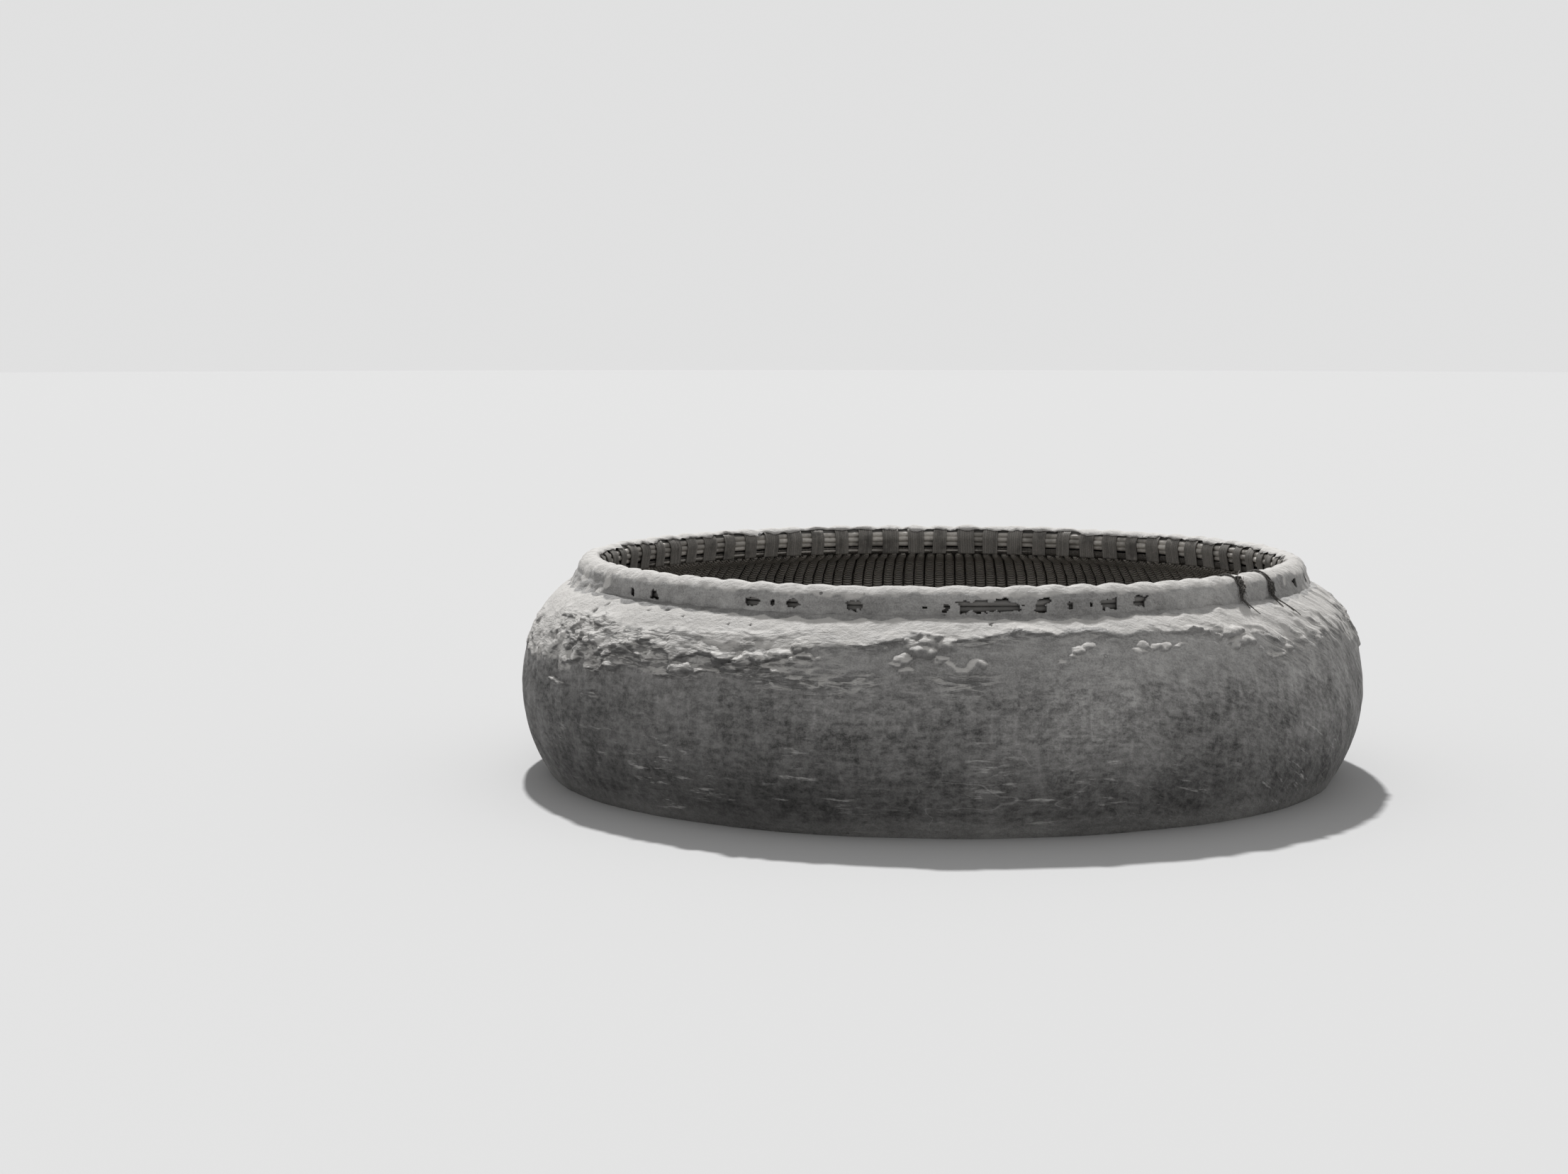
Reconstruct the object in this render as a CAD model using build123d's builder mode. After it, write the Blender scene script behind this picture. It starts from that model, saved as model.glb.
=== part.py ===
from build123d import *
import os
from math import cos, radians, sin

# A round basket boat: a coiled basketry bowl with close inner ribs, a rim bundle tied by
# flat lashings, and a thick coat of bitumen outside that laps over the rim.
# Millimetres, +Z up. The origin is the middle of the flat bottom.

# The coated hull's outline: tangent arcs from the belly up to the rim and down to the floor
belly_radius = 1760.0
belly_height = 480.0
low_arc_radius = 650.0
low_arc_turn = 35.0
high_arc_radius = 600.0
high_arc_turn = 25.0
shoulder_radius = 350.0
shoulder_turn = 39.0

# The layers of the wall, from the outside in
coat_thickness = 8.0
coat_gap = 0.6
basket_thickness = 25.0
rib_gap = 0.8
floor_gap = 0.4

# The wall and the rim's bundle are laid up in butted panels
panel_count = 4
panel_start_angle = 45.0
panel_gap_angle = 0.02

# The rim's bundle of withies, set in and up from the shoulder's end
rim_setback = 77.0
rim_lift = 47.7
bundle_radius = 47.0
bundle_half_seat = 33.0
seat_depth = 43.0
seat_overhang = 2.0
rim_gap = 0.6
rim_coat_thickness = 11.5
neck_angle = -41.0
neck_clearance = 12.5
lap_angle = 118.0

# Flat lashings on the bundle's inner face, down past the wall's edge
lashing_count = 75
lashing_width = 78.0
lashing_thickness = 4.5
lashing_gap = 0.9
lashing_start_angle = 135.0
lashing_drop = 4.0

# Ribs of split withies in three lengths
rib_count = 208
rib_width = 40.0
rib_depth = 20.0
rib_head_setback = 20.0
middle_rib_end = 1050.0
long_rib_end = 560.0

# Rope ties knotted over the rim
tie_angles = [-44.1, -35.7]
tie_width = 16.0
tie_thickness = 8.0
tie_knot_radius = 15.0
tie_knot_length = 36.0
tie_knot_angle = 12.0


def direction(angle):
    return Vector(cos(radians(angle)), sin(radians(angle)))


bilge_radius = (belly_height - low_arc_radius * sin(radians(low_arc_turn))) / (
    1 - sin(radians(low_arc_turn))
)
belly = Vector(belly_radius, belly_height)
low_middle = belly - direction(0) * low_arc_radius
bilge_middle = low_middle + direction(-low_arc_turn) * (low_arc_radius - bilge_radius)
high_middle = belly - direction(0) * high_arc_radius
shoulder_middle = high_middle + direction(high_arc_turn) * (high_arc_radius - shoulder_radius)
shoulder_angle = high_arc_turn + shoulder_turn


def hull_point(angle, depth):
    """The point inside the hull's outline by a depth, where the outward normal has this slope."""
    if angle < -low_arc_turn:
        middle, radius = bilge_middle, bilge_radius
    elif angle < 0:
        middle, radius = low_middle, low_arc_radius
    elif angle < high_arc_turn:
        middle, radius = high_middle, high_arc_radius
    else:
        middle, radius = shoulder_middle, shoulder_radius
    return middle + direction(angle) * (radius - depth)


# Slopes at which the wall's straight bands meet, outside and inside the basketry
seam_angles = [shoulder_angle - 2, 47, 30, 8, -14, -36, -58, -90]
inside_angles = [shoulder_angle - 8, 34, 4, -26, -56, -90]

shell_depth = coat_thickness + coat_gap
inside_depth = shell_depth + basket_thickness
floor_radius = hull_point(-90, 0).X
shoulder_end = hull_point(shoulder_angle, 0)
rim_middle = shoulder_end + Vector(-rim_setback, rim_lift)
rim_coat_radius = bundle_radius + rim_coat_thickness
rim_coat_angles = [-8, 36, 80, lap_angle]


def rim_point(angle, radius):
    """A point round the bundle's middle, where 0 degrees points away from the boat's axis."""
    return rim_middle + direction(angle) * radius


# The wall's straight top band, which carries the bundle
wall_top = hull_point(seam_angles[0], shell_depth)
wall_tip = rim_middle - Vector(bundle_half_seat + seat_overhang, seat_depth)


def seat_point(offset, lift):
    """A point over the wall's top band, at an offset from the bundle's middle."""
    share = (rim_middle.X + offset - wall_tip.X) / (wall_top.X - wall_tip.X)
    return wall_tip + (wall_top - wall_tip) * share + Vector(0, lift)


def add_panels(profile):
    """Turns a profile about the boat's axis into butted panels."""
    arc = 360 / panel_count - panel_gap_angle
    panel = revolve(profile, axis=Axis.Z, revolution_arc=arc, mode=Mode.PRIVATE)
    with PolarLocations(0, panel_count, start_angle=panel_start_angle + panel_gap_angle / 2):
        add(panel)


# Coat of bitumen on the side: arcs outside, and straight bands against the basketry
with BuildPart() as bitumen_side:
    with BuildSketch(Plane.XZ):
        with BuildLine():
            low = JernArc(belly, (0, -1), low_arc_radius, -low_arc_turn)
            bilge = JernArc(low @ 1, low % 1, bilge_radius, low_arc_turn - 90)
            high = JernArc(belly, (0, 1), high_arc_radius, high_arc_turn)
            shoulder = JernArc(high @ 1, high % 1, shoulder_radius, shoulder_turn)
            Polyline(
                shoulder @ 1,
                rim_point(neck_angle, bundle_radius + neck_clearance),
                *[rim_point(angle, rim_coat_radius) for angle in rim_coat_angles],
                *[rim_point(angle, bundle_radius + rim_gap) for angle in (lap_angle, 90, 45, 0)],
                seat_point(bundle_half_seat + rim_gap, coat_gap),
                *[hull_point(angle, coat_thickness) for angle in seam_angles],
                bilge @ 1,
            )
        make_face()
    revolve(axis=Axis.Z)

with BuildPart() as bitumen_bottom:
    with BuildSketch():
        Circle(floor_radius - floor_gap)
    extrude(amount=coat_thickness)

# Coiled basketry: the wall and the floor
with BuildPart() as basket_wall:
    with BuildSketch(Plane.XZ, mode=Mode.PRIVATE) as wall_profile:
        with BuildLine():
            Polyline(
                wall_tip,
                *[hull_point(angle, shell_depth) for angle in seam_angles],
                *[hull_point(angle, inside_depth) for angle in reversed(inside_angles)],
                wall_tip - Vector(0, basket_thickness),
                close=True,
            )
        make_face()
    add_panels(wall_profile.sketch)

with BuildPart() as basket_floor:
    with BuildSketch(Plane.XY.offset(shell_depth)):
        Circle(floor_radius - floor_gap)
    extrude(amount=basket_thickness)

# Rim bundle, flat where it sits on the wall's top band
with BuildPart() as rim_bundle:
    with BuildSketch(Plane.XZ, mode=Mode.PRIVATE) as bundle_profile:
        with BuildLine():
            Polyline(
                seat_point(bundle_half_seat, rim_gap),
                *[rim_point(angle, bundle_radius) for angle in (0, 45, 90, 135, 180)],
                seat_point(-bundle_half_seat, rim_gap),
                close=True,
            )
        make_face()
    add_panels(bundle_profile.sketch)

# Palm-fibre lashings
with BuildPart() as rim_lashings:
    with BuildSketch(Plane.XZ):
        with BuildLine():
            back = bundle_radius + lashing_gap
            face = back + lashing_thickness
            foot = wall_tip - Vector(lashing_gap, basket_thickness + lashing_drop)
            Polyline(
                rim_point(lashing_start_angle, back),
                rim_point(180, back),
                foot,
                foot - Vector(lashing_thickness, 0),
                rim_point(180, face),
                rim_point(lashing_start_angle, face),
                close=True,
            )
        make_face()
    lashing = extrude(amount=lashing_width / 2, both=True, mode=Mode.PRIVATE)
    with PolarLocations(0, lashing_count):
        add(lashing)


def rib_back(last_angle, end_radius=None):
    """A rib's back line, from its head under the rim to a slope of the wall or a radius of the floor."""
    depth = inside_depth + rib_gap
    edge = wall_tip - Vector(0, basket_thickness + rib_gap)
    run = hull_point(inside_angles[0], depth) - edge
    points = [edge + run.normalized() * rib_head_setback]
    points += [hull_point(angle, depth) for angle in inside_angles if angle >= last_angle]
    if end_radius:
        points.append(Vector(end_radius, depth))
    return [(point.X, 0, point.Y) for point in points]


def rib_set(points, count, first):
    """Copies of one rib round the boat, from the rib slot that is named first."""
    with BuildPart() as ribs:
        with BuildLine(mode=Mode.PRIVATE) as back_line:
            Polyline(*points)
        path = back_line.line
        with BuildSketch(Plane(path @ 0, x_dir=(0, 1, 0), z_dir=path % 0), mode=Mode.PRIVATE) as section:
            Polygon((-rib_width / 2, 0), (rib_width / 2, 0), (0, -rib_depth), align=None)
        rib = sweep(section.sketch, path=path, transition=Transition.RIGHT, mode=Mode.PRIVATE)
        with PolarLocations(0, count, start_angle=360 / rib_count * first):
            add(rib)
    return ribs


# Every second rib ends on the bilge, and the others run on over the floor
ribs_short = rib_set(rib_back(-56), rib_count // 2, 0)
ribs_middle = rib_set(rib_back(-90, middle_rib_end), rib_count // 4, 1)
ribs_long = rib_set(rib_back(-90, long_rib_end), rib_count // 4, 3)

# Rope ties over the coat on the rim, each with a knot outside
with BuildPart() as rim_ties:
    for turn in tie_angles:
        tie_plane = Plane.XZ.rotated((0, 0, turn))
        tie_back = rim_coat_radius + rim_gap
        tie_face = tie_back + tie_thickness
        with BuildSketch(tie_plane):
            with BuildLine():
                Polyline(
                    *[rim_point(angle, tie_back) for angle in rim_coat_angles],
                    *[rim_point(angle, tie_face) for angle in reversed(rim_coat_angles)],
                    close=True,
                )
            make_face()
        extrude(amount=tie_width / 2, both=True)
        with BuildSketch(tie_plane):
            knot = rim_point(tie_knot_angle, tie_back + tie_knot_radius)
            with Locations((knot.X, knot.Y)):
                Circle(tie_knot_radius)
        extrude(amount=tie_knot_length / 2, both=True)

os.makedirs("parts", exist_ok=True)
for name, piece in (
    ("bitumen_side", bitumen_side),
    ("bitumen_bottom", bitumen_bottom),
    ("basket_wall", basket_wall),
    ("basket_floor", basket_floor),
    ("rim_bundle", rim_bundle),
    ("rim_lashings", rim_lashings),
    ("ribs_short", ribs_short),
    ("ribs_middle", ribs_middle),
    ("ribs_long", ribs_long),
    ("rim_ties", rim_ties),
):
    piece.part.label = name
    export_step(piece.part, f"parts/{name}.step")
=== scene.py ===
import bpy
from math import pi, radians

import numpy as np
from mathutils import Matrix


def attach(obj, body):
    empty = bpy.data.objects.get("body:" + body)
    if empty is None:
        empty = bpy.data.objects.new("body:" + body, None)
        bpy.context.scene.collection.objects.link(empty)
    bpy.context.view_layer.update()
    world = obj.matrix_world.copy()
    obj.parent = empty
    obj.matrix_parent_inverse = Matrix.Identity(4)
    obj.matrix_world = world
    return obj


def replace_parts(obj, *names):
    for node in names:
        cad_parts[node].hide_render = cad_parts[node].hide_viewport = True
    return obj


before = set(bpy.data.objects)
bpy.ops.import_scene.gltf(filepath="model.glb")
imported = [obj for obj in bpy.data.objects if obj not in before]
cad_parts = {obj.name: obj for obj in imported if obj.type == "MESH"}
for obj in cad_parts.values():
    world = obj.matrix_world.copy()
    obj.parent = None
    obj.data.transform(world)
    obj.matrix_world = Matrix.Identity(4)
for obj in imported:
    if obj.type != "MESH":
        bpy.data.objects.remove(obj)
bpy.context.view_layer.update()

# Metres throughout. In names, turns are radians round the boat and degrees are degrees of such a
# turn. The picture's floor lies at the hull's waterline.
WATERLINE = 0.10
TURN = 2 * pi

# The camera, at the photograph's height, distance and angle
IMAGE_WIDTH = 2212
FOCAL_PIXELS = 3742
SENSOR_WIDTH = 36
CAMERA_PLACE = (-0.655, -11.16, 1.88 + WATERLINE)
CAMERA_TILT = 5.74

# The hull's outline: tangent arcs, by the slope in degrees of their outward normal
BELLY = np.array([1.760, 0.480])
LOW_RADIUS, LOW_TURN = 0.650, 35.0
HIGH_RADIUS, HIGH_TURN = 0.600, 25.0
SHOULDER_RADIUS, SHOULDER_ANGLE = 0.350, 64.0
SEAM_ANGLES = [62, 47, 30, 8, -14, -36, -58, -90]
INSIDE_ANGLES = [56, 34, 4, -26, -56, -90]

# The wall's layers, as depths inside the outline
COAT_THICKNESS = 0.008
SHELL_DEPTH = 0.0086
INSIDE_DEPTH = 0.0336
RIB_GAP = 0.0008
FLOOR_GAP = 0.0004

# The rim, whose slopes are 0 away from the boat's axis and 90 on top
RIM_SETBACK, RIM_LIFT = 0.077, 0.0477
BUNDLE_RADIUS = 0.047
RIM_COAT_RADIUS = 0.0585
NECK_ANGLE, NECK_RADIUS = -41.0, 0.0595
LAP_ANGLE = 118.0
LASHING_COUNT = 75

# Radii at which turns are measured along the side and along the rim's outer face
SIDE_RADIUS = 1.68
RIM_FACE_RADIUS = 1.52


def direction(angle):
    """Unit vectors (outward, up) at slopes in degrees."""
    angle = np.radians(np.asarray(angle, float))
    return np.stack([np.cos(angle), np.sin(angle)], -1)


LOW_SINE = np.sin(radians(LOW_TURN))
BILGE_RADIUS = (BELLY[1] - LOW_RADIUS * LOW_SINE) / (1 - LOW_SINE)
LOW_MIDDLE = BELLY - direction(0) * LOW_RADIUS
BILGE_MIDDLE = LOW_MIDDLE + direction(-LOW_TURN) * (LOW_RADIUS - BILGE_RADIUS)
HIGH_MIDDLE = BELLY - direction(0) * HIGH_RADIUS
SHOULDER_MIDDLE = HIGH_MIDDLE + direction(HIGH_TURN) * (HIGH_RADIUS - SHOULDER_RADIUS)
ARC_MIDDLES = np.array([BILGE_MIDDLE, LOW_MIDDLE, HIGH_MIDDLE, SHOULDER_MIDDLE])
ARC_RADII = np.array([BILGE_RADIUS, LOW_RADIUS, HIGH_RADIUS, SHOULDER_RADIUS])


def hull_point(angle, depth=0.0):
    """Points (radius, height) inside the hull's outline by a depth, at slopes in degrees."""
    arc = np.searchsorted([-LOW_TURN, 0, HIGH_TURN], angle, side="right")
    return ARC_MIDDLES[arc] + direction(angle) * (ARC_RADII[arc] - depth)[..., None]


FLOOR_RADIUS = float(hull_point(-90)[0])
SHOULDER_END = hull_point(SHOULDER_ANGLE)
RIM_MIDDLE = SHOULDER_END + np.array([-RIM_SETBACK, RIM_LIFT])
WALL_TIP = RIM_MIDDLE - np.array([0.035, 0.043])


def rim_point(angle, radius):
    """Points (radius, height) round the bundle's middle, where 0 degrees points outward."""
    return RIM_MIDDLE + direction(angle) * np.asarray(radius, float)[..., None]


def inner_line(depth, last_slope=-90, setback=0.0):
    """The wall's inside in straight bands, from a setback below its top edge down to a slope."""
    edge = WALL_TIP - [0, depth - SHELL_DEPTH]
    line = np.concatenate([[edge], hull_point([a for a in INSIDE_ANGLES if a >= last_slope], depth)])
    run = line[1] - edge
    line[0] += run / np.linalg.norm(run) * setback
    return line


# Seeded noise, the same on every run
HASH_PRIMES = np.array([73856093, 19349663, 83492791], np.uint32)


def lattice(cells, seed):
    """Even random values from -1 to 1 at whole-number points."""
    h = np.bitwise_xor.reduce(cells.astype(np.int64).astype(np.uint32) * HASH_PRIMES, axis=-1)
    h = h ^ np.uint32(seed * 2654435761 % 2**32)
    for shift in (15, 13, 16):
        h = (h ^ (h >> np.uint32(shift))) * np.uint32(2246822519)
    return h / 2.0**31 - 1


def noise(points, scale, seed):
    """Smooth noise from about -1 to 1, whose lumps are as large as scale (one size, or three)."""
    p = np.asarray(points, float) / np.asarray(scale, float)
    cell = np.floor(p)
    f = p - cell
    f = f * f * f * (f * (f * 6 - 15) + 10)
    total = 0
    for corner in np.ndindex(2, 2, 2):
        corner = np.array(corner)
        weight = np.prod(np.where(corner == 1, f, 1 - f), axis=-1)
        total = total + weight * lattice(cell + corner, seed)
    return total * 1.5


def layers(points, scale, seed, count=3):
    """Noise in layers, each at half the size and strength of the last."""
    return sum(noise(points, scale / 2**i, seed + i) / 2**i for i in range(count))


def ridges(points, scale, seed, sharpness=2.0):
    """Thin raised lines, from 0 to 1, along the places where noise changes sign."""
    return np.clip(1 - np.abs(noise(points, scale, seed)), 0, 1) ** sharpness


# Smooth shapes of one number
def step(value, low, high):
    """A smooth step from 0 at low to 1 at high."""
    t = np.clip((value - low) / (high - low), 0, 1)
    return t * t * (3 - 2 * t)


def between(value, rise_low, rise_high, fall_low, fall_high):
    """A smooth window, which rises to 1 and falls back to 0."""
    return step(value, rise_low, rise_high) * (1 - step(value, fall_low, fall_high))


def bell(value, middle, width):
    """A bell from 0 to 1 round a middle."""
    return np.exp(-(((value - middle) / width) ** 2))


# Points and quads
def unit(vectors):
    """Vectors in the same directions with a length of 1."""
    return vectors / np.linalg.norm(vectors, axis=-1)[..., None]


def upward(lift):
    """Vectors that point up by a lift."""
    return np.stack([0 * lift, 0 * lift, lift], -1)


def all_round(count):
    """Even turns once round the boat."""
    return np.linspace(-pi, pi, count, endpoint=False)


def near_and_far_turns(near_count, far_count):
    """Turns round the boat, closer together on the side that the photograph shows."""
    near = np.linspace(-pi, 0, near_count, endpoint=False)
    far = np.linspace(0, pi, far_count, endpoint=False)
    return np.concatenate([near, far])


def turned(profile, turns, side=0.0):
    """Points at places (radius, height), turned round the boat's axis and moved sideways."""
    radius, height = profile[..., 0], profile[..., 1]
    x = radius * np.cos(turns) - side * np.sin(turns)
    y = radius * np.sin(turns) + side * np.cos(turns)
    return np.stack(np.broadcast_arrays(x, y, height), -1)


def resample(line, spacing):
    """Points along a line of straight runs at about one spacing, and how far along each lies."""
    marks = np.concatenate([[0], np.cumsum(np.linalg.norm(np.diff(line, axis=0), axis=1))])
    count = max(2, int(round(marks[-1] / spacing)) + 1)
    along = np.linspace(0, marks[-1], count)
    return np.stack([np.interp(along, marks, column) for column in line.T], -1), along


def grid_faces(rows, columns, closed=True):
    """Quads between rows of points that run in rings; the last row may join the first."""
    i = np.arange(rows if closed else rows - 1)[:, None]
    j = np.arange(columns)
    here, below, beyond = i * columns, (i + 1) % rows * columns, (j + 1) % columns
    return np.stack([here + j, here + beyond, below + beyond, below + j], -1).reshape(-1, 4)


def tube_faces(rings, sides):
    """Quads of a tube of rings of points, with its two ends."""
    end = np.array([[k, k + 1, sides - 2 - k, sides - 1 - k] for k in range(sides // 2 - 1)])
    last = end + (rings - 1) * sides
    return np.concatenate([grid_faces(rings, sides, False), end[:, ::-1], last])


def copied(faces, count, size):
    """The same quads for a count of copies, each of so many points."""
    return (faces[None] + np.arange(count)[:, None, None] * size).reshape(-1, 4)


def shell_faces(hollow):
    """Quads of a closed shell of two grids of points, front and back, open in the hollow cells."""
    rows, columns = hollow.shape[0] + 1, hollow.shape[1]
    solid = ~hollow
    for _ in range(3):
        upper, lower = solid[:-1], solid[1:]
        next_upper, next_lower = np.roll(upper, -1, axis=1), np.roll(lower, -1, axis=1)
        corner = upper & next_lower & ~lower & ~next_upper
        corner = corner | (~upper & ~next_lower & lower & next_upper)
        for half in (solid[:-1], solid[1:]):
            half |= corner | np.roll(corner, 1, axis=1)
    cells = grid_faces(rows, columns, False).reshape(rows - 1, columns, 4)
    a, b, c, d = np.moveaxis(cells, -1, 0)
    back = rows * columns
    outside = cells[solid]
    quads = [outside, outside[:, [0, 3, 2, 1]] + back]
    padded = np.pad(solid, ((1, 1), (0, 0)))
    for first, second, neighbour in (
        (b, a, padded[:-2]),
        (d, c, padded[2:]),
        (a, d, np.roll(solid, 1, axis=1)),
        (c, b, np.roll(solid, -1, axis=1)),
    ):
        edge = np.stack([first, second, second + back, first + back], -1)
        quads.append(edge[solid & ~neighbour])
    return np.concatenate(quads)


def new_object(name, data):
    """An object in the scene, of a mesh, a lamp or a camera."""
    item = bpy.data.objects.new(name, data)
    bpy.context.scene.collection.objects.link(item)
    return item


def make_object(name, points, faces, slot, material, normals=None, **attributes):
    """One mesh piece from an array of points and an array of quads, riding on the boat."""
    mesh = bpy.data.meshes.new(name)
    mesh.vertices.add(points[..., 0].size)
    mesh.vertices.foreach_set("co", np.asarray(points, np.float32).ravel())
    mesh.loops.add(faces.size)
    mesh.loops.foreach_set("vertex_index", np.asarray(faces, np.int32).ravel())
    mesh.polygons.add(len(faces))
    mesh.polygons.foreach_set("loop_start", np.arange(0, faces.size, 4, dtype=np.int32))
    mesh.polygons.foreach_set("use_smooth", np.ones(len(faces), bool))
    for key, values in attributes.items():
        values = np.broadcast_to(values, points.shape[:-1]).astype(np.float32)
        mesh.attributes.new(key, "FLOAT", "POINT").data.foreach_set("value", values.ravel())
    mesh.update(calc_edges=True)
    mesh.validate()
    if normals is not None:
        mesh.normals_split_custom_set_from_vertices(normals.reshape(-1, 3).tolist())
    mesh.materials.append(material)
    piece = new_object(name, mesh)
    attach(piece, "root")
    return piece


# Node materials
class Nodes:
    """Short calls that add nodes to a new material."""

    def __init__(self, name):
        self.material = bpy.data.materials.new(name)
        self.material.use_nodes = True
        self.tree = self.material.node_tree
        self.shader = self.tree.nodes["Principled BSDF"]
        self.shader.inputs["Specular IOR Level"].default_value = 0.35
        self.place = self.add("TexCoord", {}, "Object")

    def link(self, value, socket):
        """Links another node's output to a socket, or sets the socket to a value."""
        if isinstance(value, bpy.types.NodeSocket):
            self.tree.links.new(value, socket)
        else:
            socket.default_value = value

    def add(self, kind, inputs, output=0, **settings):
        """Adds a node with its settings and inputs, and returns one of its outputs."""
        node = self.tree.nodes.new("ShaderNode" + kind)
        for name, value in settings.items():
            setattr(node, name, value)
        for key, value in inputs.items():
            self.link(value, node.inputs[key])
        return node.outputs[output]

    def slant(self, lift):
        """Shifts the place upward by a number of metres, so that textures slant with it."""
        self.place = self.add("VectorMath", {0: self.place, 1: self.add("CombineXYZ", {"Z": lift})})

    def noise(self, scale, stretch=(1, 1, 1), detail=4.0, roughness=0.55, distortion=0.0):
        """Noise from 0 to 1, with more waves to a metre where the stretch is above 1."""
        place = self.add("Mapping", {"Vector": self.place, "Scale": stretch})
        inputs = {"Vector": place, "Scale": scale, "Detail": detail}
        inputs.update({"Roughness": roughness, "Distortion": distortion})
        return self.add("TexNoise", inputs, "Fac")

    def cells(self, scale):
        """The distance from the nearest of many scattered points."""
        return self.add("TexVoronoi", {"Vector": self.place, "Scale": scale}, "Distance")

    def attribute(self, name):
        """A value that the mesh has at each of its points."""
        return self.add("Attribute", {}, "Fac", attribute_name=name)

    def math(self, operation, *values):
        """One sum on one or more values."""
        return self.add("Math", dict(enumerate(values)), operation=operation)

    def plus(self, total, *values):
        """All the values added up."""
        for value in values:
            total = self.math("ADD", total, value)
        return total

    def times(self, total, *values):
        """All the values multiplied."""
        for value in values:
            total = self.math("MULTIPLY", total, value)
        return total

    def stitches(self, spacing):
        """A wave from -1 to 1 along a withy or a coil, at one spacing in metres."""
        return self.math("SINE", self.times(self.attribute("along"), TURN / spacing))

    def ranged(self, value, low, high, new_low=0.0, new_high=1.0):
        """Maps a value from one range to another, smoothly, and keeps it inside."""
        inputs = dict(enumerate((value, low, high, new_low, new_high)))
        return self.add("MapRange", inputs, interpolation_type="SMOOTHSTEP")

    def mix(self, share, low, high):
        """A colour between two."""
        return self.add("Mix", {"Factor": share, 6: low, 7: high}, 2, data_type="RGBA")

    def tinted(self, colour, *tints):
        """A colour with others over it, each given as its share and itself."""
        for share, tint in tints:
            colour = self.mix(share, colour, tint)
        return colour

    def finish(self, colour, roughness, *bumps):
        """Sets the shader's look, with bumps given as a height and how far it stands in metres."""
        before = {}
        for height, distance in bumps:
            before = {"Normal": self.add("Bump", {"Distance": distance, "Height": height, **before})}
        for name, value in {"Base Color": colour, "Roughness": roughness, **before}.items():
            self.link(value, self.shader.inputs[name])
        return self.material


def grey(value, warmth=0.0):
    """A near-neutral colour, a little warm where warmth is above 0."""
    return (value * (1 + warmth), value, value * (1 - warmth * 1.4), 1)


def bare_bitumen(n, mottle, blotches, bands, sparse):
    """The bare coat's colour: mottled and streaked, and low down scuffed and scratched."""
    low = n.attribute("low")
    streaks = n.noise(36, stretch=(1, 1, 0.2), detail=4, roughness=0.62)
    share = n.plus(
        n.ranged(mottle, 0.35, 0.65, -0.31, 0.30),
        n.ranged(bands, 0.38, 0.64, -0.12, 0.09),
        n.ranged(blotches, 0.38, 0.68, 0.12, -0.22),
        n.ranged(streaks, 0.50, 0.68, -0.04, 0.22),
    )
    share = n.plus(
        n.times(share, n.attribute("mottled")),
        n.ranged(n.noise(2.3, detail=5), 0.34, 0.66, -0.13, 0.13),
        n.ranged(n.noise(170, detail=3), 0.35, 0.65, -0.13, 0.13),
        1.0,
    )
    dashes = n.noise(15, stretch=(0.40, 0.40, 3.0), detail=5, roughness=0.68)
    scuffs = n.times(n.ranged(dashes, 0.57, 0.67), n.ranged(sparse, 0.45, 0.58))
    wander = n.noise(2.6, stretch=(1, 1, 2.8), detail=1.5)
    line = n.math("ABSOLUTE", n.math("SUBTRACT", wander, 0.5))
    broken = n.ranged(n.noise(1.9, detail=2), 0.53, 0.58)
    scratches = n.times(n.ranged(line, 0.0042, 0.0016), broken, low, 0.10)
    value = n.times(n.attribute("tone"), share)
    value = n.plus(value, n.times(scuffs, n.ranged(low, 0, 1, 0.05, 0.27)), scratches)
    return n.mix(value, grey(0), grey(1, 0.02))


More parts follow.
